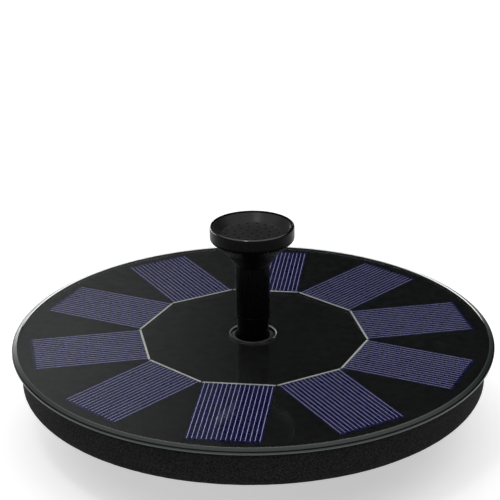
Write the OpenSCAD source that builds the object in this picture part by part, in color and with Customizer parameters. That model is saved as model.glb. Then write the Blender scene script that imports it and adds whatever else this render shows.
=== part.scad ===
// Floating solar fountain: a round solar panel on a foam ring, with a submersible
// pump under its centre and a two-part nozzle that plugs on to the pump's spigot.
// Z = 0 is the underside of the strainer. Cell 01 faces the front, along -Y.

/* [Solar panel] */
// Radius of the glass disc
glass_r = 90; // [76:1:110]
// Thickness of the glass disc
glass_t = 2; // [1.8:0.1:4]
// Width of the polished bevel round the top of the glass
bevel_w = 1.9; // [0.5:0.1:2.5]
// Depth of that bevel
bevel_d = 1; // [0.4:0.1:1.4]
// Radius of the hole through the glass
glass_hole_r = 8.5; // [8.3:0.1:10]
// Bevel on the edge of that hole
hole_bevel = 0.4; // [0.2:0.1:0.8]
// Thickness of the clear bonding film under the glass, left as a gap
film_t = 0.1; // [0.05:0.05:0.3]
// Thickness of the backsheet behind the cells
backsheet_t = 1.2; // [0.8:0.1:2]
// Margin of bare glass outside the backsheet
backsheet_margin = 1.7; // [1:0.1:4]
// Number of solar cells
cell_count = 10; // [6:1:12]
// Width of one cell, across its radius
cell_w = 26; // [18:0.1:30]
// Thickness of one cell
cell_t = 0.4; // [0.2:0.1:0.6]
// Spacing of the inner corners of two neighbouring cells
cell_gap = 0.7; // [0.4:0.1:5]
// Distance from the outer end of a cell to the edge of the glass
cell_margin = 7.2; // [5:0.1:15]
// Width of the bus ribbon that joins the cells
ribbon_w = 0.8; // [0.6:0.1:2]
// Thickness of the bus ribbon
ribbon_t = 0.2; // [0.1:0.05:0.3]

/* [Float] */
// Thickness of the foam ring
foam_t = 12.2; // [8:0.1:20]
// Distance from the edge of the glass in to the foam
foam_inset = 3.2; // [1:0.1:8]
// Radius of the foam's rounded edges
foam_edge = 1.5; // [0.5:0.1:3]

/* [Hub] */
// Thickness of the hub's side wall
hub_wall = 2; // [1.6:0.1:3]
// Thickness of the deck, the hub's top plate
deck_t = 2; // [1.6:0.1:3]
// Thickness of the base plate
base_t = 2; // [1.6:0.1:3]
// Wall of the sleeve that guides the riser through the glass
sleeve_wall = 1.3; // [1:0.1:1.8]
// Diameter of the rechargeable cell
battery_d = 18.2; // [14:0.1:22]
// Length of the rechargeable cell
battery_l = 50; // [40:0.5:60]
// Wall of the battery trough
trough_wall = 1.6; // [1.2:0.1:2.4]
// Length of the control board
board_l = 34; // [28:0.5:38]
// Width of the control board
board_w = 20; // [18:0.5:22]
// Thickness of the control board
board_t = 1.2; // [0.8:0.1:1.6]
// Height of the tallest part on the control board
board_parts_h = 3.2; // [3:0.1:5]
// Number of screws that hold the base cover
cover_screw_count = 6; // [4:1:8]
// Shank radius of the cover screws
screw_r = 1.25; // [1:0.05:1.5]

/* [Pump] */
// Radius of the pump body
pump_r = 20.2; // [19.8:0.1:25]
// Outer radius of the rotor magnet
magnet_r = 6; // [5:0.1:6.4]
// Length of the rotor magnet
magnet_l = 8.2; // [6:0.1:12]
// Radius of the ceramic shaft
shaft_r = 1; // [0.8:0.05:1.4]
// Radial clearance of the rotor on its shaft
shaft_clearance = 0.06; // [0.02:0.01:0.1]
// Radius of the impeller
impeller_r = 11.6; // [9:0.1:11.8]
// Height of the impeller's blades
blade_h = 4; // [3:0.1:6]
// Number of impeller blades
blade_count = 6; // [4:1:8]
// Thickness of one blade
blade_t = 1; // [0.8:0.1:1.6]
// Number of stator poles
pole_count = 6; // [4:2:8]
// Radius of the discharge duct
duct_r = 2.2; // [1.6:0.1:2.3]
// Wall of the pump mouldings
pump_wall = 1.2; // [1:0.1:1.8]
// Radius of the spigot that the riser plugs on to
spigot_r = 4.4; // [4:0.1:4.6]
// How far the spigot stands above the glass
spigot_show = 4; // [2:0.1:7]

/* [Strainer] */
// Wall of the strainer cover
strainer_wall = 1.5; // [1.2:0.1:2.5]
// Width of one strainer slot
slot_w = 1.6; // [1:0.1:2.4]
// Number of slots round the side of the strainer
side_slot_count = 36; // [18:3:42]
// Turn that frees the bayonet, in degrees
bayonet_turn = 25; // [15:1:35]

/* [Nozzle] */
// Height of the riser's narrow part above the glass
riser_show = 7; // [4:0.1:12]
// Outer radius of the riser
riser_r = 5.9; // [5.6:0.05:6]
// Radial clearance of the push fits along the nozzle
push_clearance = 0.06; // [0.03:0.01:0.1]
// Outer radius of the nozzle's stem
stem_r = 6.4; // [6.2:0.1:8]
// Length of the nozzle's stem, up to its taper
stem_l = 20.1; // [14:0.1:40]
// Length of the part of the riser inside the stem
socket_l = 10.4; // [8:0.1:12]
// Radius of the sprinkler head
head_r = 15.6; // [14:0.1:22]
// Height of the taper between the stem and the head
taper_h = 6; // [3:0.1:10]
// Radius at the top of the taper
taper_r = 10.9; // [9.6:0.1:13]
// Height of the head's sloping underside
underside_h = 4.1; // [3:0.1:6]
// Height of the head's rim wall
rim_h = 5.1; // [4.5:0.1:9]
// Depth of the dish above the spray holes
dish_d = 3.2; // [2.4:0.1:3.6]
// Radius of the perforated face
spray_r = 11.8; // [10:0.1:12]
// Radius of one spray hole
spray_hole_r = 0.45; // [0.3:0.05:0.7]
// Rings of spray holes round the centre one
spray_rings = 3; // [2:1:3]

/* [Hidden] */
$fn = 96;
cut = 0.1; // overrun of a cut past the face it opens
air = 0.4; // gap between pieces that must not touch

// Strainer cover and volute plate, from the bottom up
strainer_in_r = pump_r + 0.3;
strainer_r = strainer_in_r + strainer_wall;
foot_h = 1; // height of the rim that the pump stands on
strainer_floor_t = 1.4;
intake_gap = 3.6; // water space between the strainer's floor and the volute plate
plate_t = 1.4;
strainer_floor_z = foot_h + strainer_floor_t;
plate_z = strainer_floor_z + intake_gap;
plate_r = impeller_r + 5.6;
eye_r = 4.6; // suction eye
hub_boss_r = 2; // boss on the volute plate that carries the shaft
hub_boss_h = 1.6;
volute_z0 = plate_z + plate_t;
blade_z = volute_z0 + 0.6;
shroud_t = 0.8;
volute_z1 = blade_z + blade_h + shroud_t + air;
volute_r0 = impeller_r + 1; // tightest radius of the volute, at its tongue
volute_r1 = plate_r - 0.8; // widest radius, at the discharge
volute_steps = 40;
body_z0 = plate_z - 0.5;

// Bayonet between the strainer cover and the pump body
lug_count = 3;
lug_w = 14; // degrees
lug_h = 1.4;
lug_z = body_z0 + 2.7;
lug_in_r = pump_r - 1.1;
strainer_h = lug_z + lug_h + 0.6;

// Motor
bore_r = magnet_r + 0.5; // rotor well
well_r = bore_r + pump_wall;
pole_in_r = well_r + 0.15;
pocket_r = pole_in_r + 4.75;
stator_r = pocket_r - 0.1;
pocket_z0 = volute_z1 + pump_wall;
magnet_z = pocket_z0 + 0.4;
core_l = 6;
core_z = magnet_z + (magnet_l - core_l) / 2;
coil_over = 1.5; // height of the end turns past the core
well_z1 = magnet_z + magnet_l + 2;
body_z1 = well_z1 + 2;
potting_t = 1.2;
rotor_stem_r = 2.8;
rotor_top_z = magnet_z + magnet_l + 0.2;
cushion_r = 1.9;
cushion_h = 1.4;
shaft_z0 = volute_z0 - 0.9;
shaft_z1 = well_z1 + 1.2;

// Discharge duct and the cap that leads it to the centre
duct_angle = -12;
duct_x = pocket_r + 0.6 + duct_r;
neck_r = max(duct_x + duct_r + 1.4, pocket_r + 2);
flange_r = pump_r + 5.2;
pump_screw_circle_r = flange_r - 2.6;
flange_t = 1.8;
cap_plate_t = 1;
duct_z = body_z1 + 0.8 + duct_r;
cap_z1 = duct_z + duct_r + 0.8;
collar_r = 6; // shoulder at the foot of the spigot
spigot_bore_r = 2.8;

// Hub: the deck lies on the cap, the base plate under the board
deck_z0 = cap_z1 + 0.5;
deck_z1 = deck_z0 + deck_t;
board_lift = 1.6;
cavity_h = board_lift + board_t + board_parts_h + 0.7;
base_z1 = deck_z0 - cavity_h;
base_z0 = base_z1 - base_t;
board_z = base_z1 + board_lift;
battery_r = battery_d / 2;
trough_r = battery_r + air + trough_wall;
battery_x = flange_r + 1.2 + trough_r;
battery_z = deck_z0 - air - battery_r;
trough_l = battery_l + 2 * air + 2 * trough_wall + 1;
screw_head_r = 2.4;
boss_r = 3.4;
hub_in_r = norm([battery_x + trough_r, trough_l / 2]) + 1;
hub_r = hub_in_r + hub_wall;
screw_circle_r = hub_in_r - boss_r + 0.8;
base_boss_r = hub_in_r - screw_circle_r - 0.5;
boss_z = base_z1 + 1.2; // top of the base cover's screw bosses
board_x = -(neck_r + 3.2 + board_w / 2);

// Panel
backsheet_z1 = deck_z1 + backsheet_t;
glass_z0 = backsheet_z1 + film_t;
glass_top = glass_z0 + glass_t;
foam_z1 = deck_z1;
foam_z0 = foam_z1 - foam_t;
foam_in_r = hub_r + 0.3;
foam_r = glass_r - foam_inset;
backsheet_r = glass_r - backsheet_margin;
step = 360 / cell_count;
ring_r = (cell_w + cell_gap) / 2 / sin(step / 2); // corners of the ribbon
ribbon_break = 0.6; // gap between two lengths of ribbon, at a corner
cell_in = ring_r * cos(step / 2) + ribbon_w / 2 + 0.15;
cell_out = glass_r - cell_margin;

// Nozzle
sleeve_in_r = riser_r + 0.5;
sleeve_r = sleeve_in_r + sleeve_wall;
riser_z0 = cap_z1 + 1.2;
spigot_z1 = glass_top + spigot_show;
seal_z = spigot_z1 - 3.4; // seal's groove on the spigot
seal_d = 0.8; // section of that seal
seam_z = glass_top + riser_show;
seam_t = 1;
socket_r = riser_r - 0.8; // riser inside the stem
riser_bore_r = 3.8;
stem_z0 = seam_z + seam_t;
socket_z1 = stem_z0 + socket_l;
taper_z = stem_z0 + stem_l;
underside_z = taper_z + taper_h;
rim_z = underside_z + underside_h;
head_z1 = rim_z + rim_h;
stem_bore_r = 4.2;
seat_r = head_r - 0.9; // spray disc in the head
spray_t = 1.2;
spray_z = head_z1 - dish_d - spray_t;
ring_pitch = spray_r / (spray_rings + 0.6);

// Routes of the leads inside the hub
lead_r = 0.55;
lead_gap = 1.6;
panel_route = [[-33, 27, 35.5], [-33, 27, 34], [-33, 25.6, 32.2], [-33, 20, 31.2], [-33, 14, 31.2]];
battery_route = [[34, 25, 29], [34, 28, 29], [31, 32.5, 29.6], [20, 36, 30.4], [4, 36.5, 30.8],
    [-12, 32, 30.8], [-23, 24, 30.8], [-27, 18, 31], [-27, 14, 31.2]];
pump_route = [[-9.8, 0, 26], [-10.2, 0, 28.6], [-12.4, 0, 31], [-17, 0, 31.6], [-21.5, 0, 31.3],
    [-25, 0, 31.2]];

function polar(r, a) = [r * cos(a), r * sin(a)];
function pad(k) = k < 10 ? str("0", k) : str(k);
function cell_name(k) = str("solar_cell_", pad(k));

CELL_NODES = [for (k = [1:cell_count]) cell_name(k)];

// ---------------------------------------------------------------- shared forms

// Copies the children n times round Z, r from the axis.
module round_z(n, r = 0, start = 0) {
    for (k = [0:n - 1]) rotate([0, 0, start + k * 360 / n]) translate([r, 0, 0]) children();
}

// A plain ring between two radii and two heights.
module ring(r_out, r_in, z0, z1) {
    translate([0, 0, z0]) difference() {
        cylinder(r = r_out, h = z1 - z0);
        translate([0, 0, -cut]) cylinder(r = r_in, h = z1 - z0 + 2 * cut);
    }
}

// A round rod or hole between two heights.
module rod(r, z0, z1) {
    translate([0, 0, z0]) cylinder(r = r, h = z1 - z0);
}

// A rubber ring of round section.
module o_ring(r, thick_r, z) {
    translate([0, 0, z]) rotate_extrude() translate([r, 0]) circle(r = thick_r, $fn = 32);
}

// A pan-head screw that points up, with its head's underside at z = 0.
module screw(length) {
    translate([0, 0, -1.5]) difference() {
        cylinder(r = screw_head_r, h = 1.5);
        for (a = [0, 90]) rotate([0, 0, a]) translate([-1.5, -0.3, -cut]) cube([3, 0.6, 0.8]);
    }
    cylinder(r = screw_r, h = length);
}

// A point on a smooth curve through the points p, between p[i] and p[i + 1].
function spline(p, i, t) =
    let (a = p[max(i - 1, 0)], b = p[i], c = p[i + 1], d = p[min(i + 2, len(p) - 1)])
    0.5 * (2 * b + (c - a) * t + (2 * a - 5 * b + 4 * c - d) * t * t
        + (3 * b - a - 3 * c + d) * t * t * t);
function smooth(p, n) = concat([for (i = [0:len(p) - 2], j = [0:n - 1]) spline(p, i, j / n)],
    [p[len(p) - 1]]);
function unit(v) = v / norm(v);

// A round wire swept along a route; across is a direction that the route never takes.
module wire(route, r, across, sides = 8) {
    path = smooth(route, 3);
    last = len(path) - 1;
    points = [for (i = [0:last], k = [0:sides - 1])
        let (
            along = unit(path[min(i + 1, last)] - path[max(i - 1, 0)]),
            side = unit(cross(along, across)),
            up = cross(side, along),
            a = k * 360 / sides
        )
        path[i] + r * (cos(a) * side + sin(a) * up)
    ];
    walls = [for (i = [0:last - 1], k = [0:sides - 1], half = [0, 1])
        let (a = i * sides + k, b = i * sides + (k + 1) % sides)
        half == 0 ? [a, b, b + sides] : [a, b + sides, a + sides]
    ];
    ends = [[for (k = [sides - 1:-1:0]) k], [for (k = [0:sides - 1]) last * sides + k]];
    polyhedron(points = points, faces = concat(walls, ends));
}

// A red and a black wire side by side, shifted along the direction across.
module wire_pair(route, across) {
    for (s = [-1, 1]) {
        shifted = [for (p = route) p + s * lead_gap / 2 * across];
        color(s < 0 ? "darkred" : "black") wire(shifted, lead_r, across);
    }
}

// ----------------------------------------------------------------- solar panel

module panel_glass() {
    color([0.55, 0.62, 0.58, 0.35]) rotate_extrude($fn = 180) polygon([
        [glass_hole_r, glass_z0],
        [glass_r, glass_z0],
        [glass_r, glass_top - bevel_d],
        [glass_r - bevel_w, glass_top],
        [glass_hole_r + hole_bevel, glass_top],
        [glass_hole_r, glass_top - hole_bevel]
    ]);
}

module cell_block(z0, z1) {
    translate([cell_in, -cell_w / 2, z0]) cube([cell_out - cell_in, cell_w, z1 - z0]);
}

module ribbon_outline(h) {
    linear_extrude(h) difference() {
        ribbon_polygon(ring_r + ribbon_w / 2);
        ribbon_polygon(ring_r - ribbon_w / 2);
        for (k = [0:cell_count - 1]) rotate([0, 0, -90 + (k + 0.5) * step])
            translate([ring_r - 2 * ribbon_w, -ribbon_break / 2]) square([4 * ribbon_w, ribbon_break]);
    }
}

module ribbon_polygon(r) {
    polygon([for (k = [0:cell_count - 1]) polar(r, -90 + (k + 0.5) * step)]);
}

module backsheet() {
    color([0.1, 0.1, 0.11]) difference() {
        ring(backsheet_r, glass_hole_r, deck_z1, backsheet_z1);
        round_z(cell_count, 0, -90) cell_block(backsheet_z1 - cell_t, backsheet_z1 + cut);
        translate([0, 0, backsheet_z1 - ribbon_t]) ribbon_outline(ribbon_t + cut);
    }
}

// One cell in its pocket of the backsheet, flush with it; cell 1 faces the front.
module solar_cell(k) {
    color([0.07, 0.07, 0.22]) rotate([0, 0, -90 + (k - 1) * step])
        cell_block(backsheet_z1 - cell_t, backsheet_z1);
}

module bus_ribbon() {
    color("silver") translate([0, 0, backsheet_z1 - ribbon_t]) ribbon_outline(ribbon_t);
}

module hole_seal() {
    color([0.15, 0.15, 0.15]) rotate_extrude() polygon([
        [sleeve_r, deck_z1],
        [glass_hole_r - 0.05, deck_z1],
        [glass_hole_r - 0.05, glass_top - 1.6],
        [sleeve_r + 0.35, glass_top - 1.3],
        [sleeve_r, glass_top - 1.5]
    ]);
}

// ------------------------------------------------------------------ foam float

module float_foam() {
    inner = foam_in_r;
    color([0.2, 0.2, 0.2]) translate([0, 0, foam_z0]) rotate_extrude($fn = 180) difference() {
        translate([inner, 0]) square([foam_r - inner, foam_t]);
        for (z = [0, foam_t]) corner_cut(foam_r, z, foam_edge, z == 0 ? 1 : -1);
    }
}

// What rounding takes off a square outer corner at (r, z).
module corner_cut(r, z, fillet, up) {
    difference() {
        translate([r - fillet, up > 0 ? z - cut : z - fillet]) square([fillet + cut, fillet + cut]);
        translate([r - fillet, z + up * fillet]) circle(r = fillet);
    }
}

// ------------------------------------------------------------------------- hub

module deck_shell() {
    color([0.13, 0.13, 0.14]) difference() {
        union() {
            rod(hub_r, deck_z0, deck_z1);
            ring(hub_r, hub_in_r, base_z1, deck_z1);
            guide_sleeve();
            round_z(cover_screw_count, screw_circle_r) rod(boss_r, boss_z, deck_z1);
            deck_ribs();
        }
        rod(sleeve_in_r, deck_z0 - cut, glass_top + cut);
        round_z(cover_screw_count, screw_circle_r) rod(screw_r, boss_z - cut, deck_z0);
        panel_lead_slot();
    }
}

// Tube that guides the riser through the glass, with a rounded lip just under its face.
module guide_sleeve() {
    lip = sleeve_wall / 2 - 0.15;
    rotate_extrude() union() {
        translate([sleeve_in_r - 1, deck_z0]) square([sleeve_wall + 1, glass_top - 1 - deck_z0]);
        translate([sleeve_in_r + sleeve_wall / 2, glass_top - 1.1]) circle(r = lip);
    }
}

// Radial ribs under the deck, between the pump's cap and the wall, clear of the battery.
module deck_ribs() {
    for (a = [60, 300, 105, 255]) rotate([0, 0, a])
        translate([neck_r + 2, -0.6, deck_z0 - 1.4]) cube([hub_in_r - neck_r - 1, 1.2, 1.6]);
}

module panel_lead_slot() {
    translate([-33, 27, deck_z0 - cut]) linear_extrude(deck_t + 2 * cut) {
        translate([-2, -1.5]) square([4, 3]);
        for (s = [-1, 1]) translate([2 * s, 0]) circle(r = 1.5);
    }
}

module base_cover() {
    color([0.11, 0.11, 0.12]) difference() {
        union() {
            rod(hub_r, base_z0, base_z1);
            ring(hub_in_r - 0.2, hub_in_r - 1.6, base_z1, boss_z - 0.2);
            ring(neck_r + 1.5, neck_r + 0.15, base_z1, base_z1 + 2);
            trough(trough_r, trough_l, base_z1);
            round_z(cover_screw_count, screw_circle_r) rod(base_boss_r, base_z1, boss_z);
            round_z(3, pump_screw_circle_r) rod(2.2, base_z1, base_z1 + 3);
            board_posts();
        }
        rod(neck_r + 0.15, base_z0 - cut, base_z1 + 3);
        trough(trough_r - trough_wall, trough_l - 2 * trough_wall, base_z1 + 3);
        round_z(cover_screw_count, screw_circle_r) {
            rod(screw_r + 0.2, base_z0 - cut, boss_z + cut);
            rod(screw_head_r + 0.2, base_z0 - cut, base_z0 + 1.6);
        }
        round_z(3, pump_screw_circle_r) rod(screw_r, base_z0 - cut, base_z1 + 2.4);
    }
}

// Rounded trough for the battery, open at the height top.
module trough(r, length, top) {
    intersection() {
        translate([battery_x, length / 2, battery_z]) rotate([90, 0, 0]) union() {
            cylinder(r = r, h = length);
            translate([-r, 0, 0]) cube([2 * r, battery_z, length]);
        }
        translate([0, -length, 0]) cube([2 * battery_x, 2 * length, top]);
    }
}

module board_posts() {
    for (x = [-1, 1], y = [-1, 1])
        translate([board_x + x * (board_w / 2 - 2), y * (board_l / 2 - 2), 0]) {
            rod(1.8, base_z1, board_z);
            rod(0.9, base_z1, board_z + board_t + 0.6);
        }
}

module cover_screws() {
    color("silver") round_z(cover_screw_count, screw_circle_r)
        translate([0, 0, base_z0 + 1.6]) screw(base_z1 - base_z0 + 2.6);
}

module battery_cell() {
    half = battery_l / 2;
    translate([battery_x, 0, battery_z]) rotate([90, 0, 0]) {
        color([0.1, 0.3, 0.6]) rotate_extrude() polygon([
            [0, -half],
            [battery_r - 0.8, -half],
            [battery_r, -half + 0.8],
            [battery_r, half - 2.2],
            [battery_r - 0.4, half - 1.9],
            [battery_r, half - 1.6],
            [battery_r, half - 0.8],
            [battery_r - 0.8, half],
            [0, half]
        ]);
        color("silver") rod(3, half, half + 0.9);
    }
}

module control_board() {
    color([0.05, 0.3, 0.15]) difference() {
        translate([board_x - board_w / 2, -board_l / 2, board_z]) cube([board_w, board_l, board_t]);
        for (x = [-1, 1], y = [-1, 1])
            translate([board_x + x * (board_w / 2 - 2), y * (board_l / 2 - 2), 0])
                rod(1, board_z - cut, board_z + board_t + cut);
    }
}

// Wound coil of the charging circuit: a drum core with its winding.
module charge_inductor() {
    z = board_z + board_t;
    color([0.2, 0.2, 0.22]) translate([board_x - 5, -5, 0]) {
        rod(2.9, z, z + 0.7);
        rod(2.9, z + board_parts_h - 0.7, z + board_parts_h);
        rod(2.3, z, z + board_parts_h);
    }
}

module board_chips() {
    z = board_z + board_t;
    color([0.08, 0.08, 0.08]) {
        translate([board_x - 7.5, 2, z]) cube([5, 6, 1.6]);
        translate([board_x + 1, -9.5, z]) cube([4, 5, 1.4]);
        translate([board_x - 3, -13.5, z]) cube([2.4, 1.4, 0.9]);
        translate([board_x + 4.4, 4.5, z]) cube([1.4, 2.4, 0.9]);
        for (y = [-9.4, -13]) translate([board_x - 5.6, y, 0]) rod(1.5, z, z + 2.8);
    }
}

// White plugs of the panel, battery and pump leads.
module lead_connectors() {
    z = board_z + board_t;
    color([0.9, 0.9, 0.86]) {
        for (x = [-33, -27]) translate([x - 2.3, 9.5, z]) cube([4.6, 4.5, board_parts_h]);
        translate([-29.5, -2.3, z]) cube([4.5, 4.6, board_parts_h]);
    }
}

module panel_leads() { wire_pair(panel_route, [1, 0, 0]); }
module battery_leads() { wire_pair(battery_route, [0, 0, 1]); }
module pump_leads() { wire_pair(pump_route, [0, 1, 0]); }

// ------------------------------------------------------------------------ pump

// Plan of the volute: its radius grows evenly from the tongue round to the discharge.
module volute_plan() {
    polygon([for (k = [0:volute_steps])
        polar(volute_r0 + (volute_r1 - volute_r0) * k / volute_steps,
            duct_angle + 6 + k * 354 / volute_steps)
    ]);
}

module pump_body() {
    color([0.1, 0.1, 0.1]) difference() {
        union() {
            rod(pump_r, body_z0, base_z0 - flange_t);
            rod(flange_r, base_z0 - flange_t, base_z0);
            rod(neck_r, base_z0, body_z1);
        }
        rod(plate_r + 0.05, body_z0 - cut, volute_z0);
        translate([0, 0, volute_z0 - cut]) linear_extrude(volute_z1 - volute_z0 + cut) volute_plan();
        rod(bore_r, volute_z1 - cut, well_z1);
        rod(shaft_r, well_z1 - cut, shaft_z1);
        ring(pocket_r, well_r, pocket_z0, body_z1 + cut);
        rotate([0, 0, duct_angle]) translate([duct_x, 0, 0])
            rod(duct_r, volute_z1 - 2.4, body_z1 + cut);
        round_z(3, pump_screw_circle_r) rod(screw_r + 0.2, base_z0 - flange_t - cut, base_z0 + cut);
        round_z(lug_count) bayonet_groove();
        round_z(12, 0, 15) body_flute();
    }
}

// L-shaped groove of the bayonet: a slot up from below, then along to the locked place.
module bayonet_groove() {
    track = lug_w + 2;
    entry = lug_w + 1;
    z1 = lug_z + lug_h + 0.3;
    rotate([0, 0, -track / 2])
        arc_band(lug_in_r - 0.3, pump_r + 1, lug_z - 0.3, z1, track + bayonet_turn);
    rotate([0, 0, bayonet_turn - entry / 2])
        arc_band(lug_in_r - 0.2, pump_r + 1, body_z0 - cut, z1 - 0.5, entry);
}

// Part of a ring, from angle 0 round to sweep.
module arc_band(r_in, r_out, z0, z1, sweep) {
    translate([0, 0, z0]) rotate_extrude(angle = sweep) translate([r_in, 0])
        square([r_out - r_in, z1 - z0]);
}

// Shallow upright flute between the strainer and the flange, for grip.
module body_flute() {
    z0 = strainer_h + 1.2;
    translate([pump_r + 0.9, 0, 0]) rod(1.6, z0, base_z0 - flange_t - 1.2);
}

module outlet_cap() {
    color([0.12, 0.12, 0.12]) difference() {
        union() {
            rod(neck_r, body_z1, body_z1 + cap_plate_t);
            rod(collar_r, body_z1, riser_z0);
            rod(spigot_r, body_z1, spigot_z1 - 0.5);
            translate([0, 0, spigot_z1 - 0.5]) cylinder(r1 = spigot_r, r2 = spigot_r - 0.4, h = 0.5);
            duct_fairing();
        }
        rod(spigot_bore_r, duct_z, spigot_z1 + cut);
        rotate([0, 0, duct_angle]) {
            translate([0, 0, duct_z]) rotate([0, 90, 0]) cylinder(r = duct_r, h = duct_x);
            translate([duct_x, 0, 0]) rod(duct_r, body_z1 - cut, duct_z);
            translate([duct_x, 0, duct_z]) sphere(r = duct_r);
        }
        ring(spigot_r + cut, spigot_r - seal_d, seal_z - 0.5, seal_z + 0.5);
        translate([-9.8, 0, 0]) rod(1.8, body_z1 - cut, body_z1 + cap_plate_t + cut);
    }
}

// Round-backed casing of the duct across the top of the pump.
module duct_fairing() {
    r = duct_r + 0.8;
    rotate([0, 0, duct_angle]) {
        translate([0, 0, duct_z]) rotate([0, 90, 0]) cylinder(r = r, h = duct_x);
        translate([0, -r, body_z1]) cube([duct_x, 2 * r, duct_z - body_z1]);
        translate([duct_x, 0, 0]) rod(r, body_z1, duct_z);
        translate([duct_x, 0, duct_z]) sphere(r = r);
    }
}

module outlet_seal() { color("dimgray") o_ring(spigot_r - seal_d / 2, seal_d / 2, seal_z); }

// Gasket between the pump's flange neck and the base cover.
module pump_seal() {
    color("dimgray") ring(neck_r + 1.3, neck_r, base_z1 + 2, base_z1 + 2.6);
}

module pump_screws() {
    color("silver") round_z(3, pump_screw_circle_r)
        translate([0, 0, base_z0 - flange_t]) screw(base_z1 - base_z0 + flange_t + 2.2);
}

// Lamination stack: an outer yoke with inward poles that end in curved shoes.
module stator_core() {
    color([0.5, 0.5, 0.52]) translate([0, 0, core_z]) linear_extrude(core_l) difference() {
        union() {
            difference() {
                circle(r = stator_r);
                circle(r = stator_r - 1.5);
            }
            for (k = [0:pole_count - 1]) rotate(k * 360 / pole_count) {
                translate([pole_in_r + 0.3, -0.9]) square([stator_r - pole_in_r - 0.9, 1.8]);
                intersection() {
                    circle(r = pole_in_r + 0.9);
                    translate([pole_in_r - 1, -2.6]) square([2.5, 5.2]);
                }
            }
        }
        circle(r = pole_in_r);
    }
}

module windings() {
    inner = pole_in_r + 1;
    deep = stator_r - 1.9 - inner;
    high = core_l + 2 * coil_over;
    color([0.72, 0.4, 0.2]) for (k = [0:pole_count - 1]) rotate([0, 0, k * 360 / pole_count])
        translate([inner, 0, core_z - coil_over]) difference() {
            translate([0, -2.1, 0]) coil_block(deep, 4.2, high);
            translate([-cut, -0.9, coil_over]) cube([deep + 2 * cut, 1.8, core_l]);
        }
}

// A block whose four long edges are rounded, as turns of wire round a pole.
module coil_block(deep, wide, high) {
    soft = 1.1;
    rotate([90, 0, 90]) linear_extrude(deep) union() {
        translate([soft, 0]) square([wide - 2 * soft, high]);
        translate([0, soft]) square([wide, high - 2 * soft]);
        for (x = [soft, wide - soft], y = [soft, high - soft]) translate([x, y]) circle(r = soft);
    }
}

module potting_cap() {
    color([0.18, 0.16, 0.14]) difference() {
        ring(pocket_r, well_r, body_z1 - potting_t, body_z1);
        translate([-9.8, 0, 0]) rod(1.7, body_z1 - potting_t - cut, body_z1 + cut);
    }
}

module pump_shaft() { color("ivory") rod(shaft_r, shaft_z0, shaft_z1); }

// Rubber ring that holds the shaft's upper end in the roof of the rotor well.
module upper_cushion() {
    color("black") ring(cushion_r, shaft_r, well_z1 - cushion_h, well_z1);
}

// Rubber ring that holds the shaft's lower end in the volute plate.
module lower_cushion() {
    color("black") ring(hub_boss_r - 0.5, shaft_r, shaft_z0, plate_z + hub_boss_h);
}

module rotor_magnet() {
    color([0.28, 0.28, 0.3]) difference() {
        rod(magnet_r, magnet_z, magnet_z + magnet_l);
        rod(rotor_stem_r, magnet_z - cut, magnet_z + magnet_l + cut);
        for (z = [magnet_z, magnet_z + magnet_l]) translate([0, 0, z]) rotate_extrude()
            translate([magnet_r, 0]) rotate(45) square(0.7, center = true);
    }
}

// One edge of a backward-curved blade, shifted round by turn degrees at the radius r.
function blade_edge(side) = [for (t = [0:0.125:1])
    let (r = 4 + (impeller_r - 4.2) * t)
    polar(r, -58 * t + side * blade_t / 2 / r * 180 / PI)
];
function backward(list) = [for (i = [len(list) - 1:-1:0]) list[i]];

module impeller() {
    color([0.85, 0.85, 0.85]) difference() {
        union() {
            translate([0, 0, blade_z]) for (k = [0:blade_count - 1])
                rotate([0, 0, k * 360 / blade_count]) linear_extrude(blade_h + shroud_t / 2)
                    polygon(concat(blade_edge(-1), backward(blade_edge(1))));
            rotate_extrude() polygon([
                [0, blade_z + 0.8],
                [rotor_stem_r - 0.6, blade_z + 0.8],
                [rotor_stem_r + 0.5, blade_z + 2.2],
                [5, blade_z + blade_h],
                [impeller_r, blade_z + blade_h],
                [impeller_r, blade_z + blade_h + shroud_t],
                [rotor_stem_r + 1, blade_z + blade_h + shroud_t],
                [rotor_stem_r + 1, magnet_z],
                [rotor_stem_r, magnet_z],
                [rotor_stem_r, rotor_top_z],
                [0, rotor_top_z]
            ]);
        }
        rod(shaft_r + shaft_clearance, blade_z - cut, rotor_top_z + cut);
    }
}

module volute_plate() {
    color([0.16, 0.16, 0.16]) difference() {
        union() {
            ring(plate_r, eye_r, plate_z, volute_z0);
            ring(eye_r + 1, eye_r, plate_z - 0.8, plate_z + cut);
            rod(hub_boss_r, shaft_z0 - 0.8, plate_z + hub_boss_h);
            for (a = [0, 120, 240]) rotate([0, 0, a])
                translate([0, -0.6, plate_z]) cube([eye_r + 0.5, 1.2, plate_t]);
        }
        rod(hub_boss_r - 0.5, shaft_z0, plate_z + hub_boss_h + cut);
        ring(plate_r + cut, plate_r - 0.9, plate_z + 0.3, plate_z + 1.1);
    }
}

module volute_seal() { color("black") o_ring(plate_r - 0.4, 0.4, plate_z + 0.7); }

// -------------------------------------------------------------------- strainer

module strainer_cover() {
    color([0.12, 0.12, 0.12]) difference() {
        union() {
            strainer_cup();
            round_z(lug_count, 0, -lug_w / 2)
                arc_band(lug_in_r, strainer_in_r + 0.5, lug_z, lug_z + lug_h, lug_w);
            round_z(24, strainer_r) rod(0.5, lug_z - 0.4, strainer_h - 0.5);
        }
        round_z(side_slot_count) side_slot();
        for (k = [0:2]) round_z(8 + 8 * k, 0, k * 6) floor_slot(4 + 5 * k);
        round_z(6, 0, 30) translate([0, -2, -cut]) cube([strainer_r + 2, 4, foot_h - 0.3 + cut]);
    }
}

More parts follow.
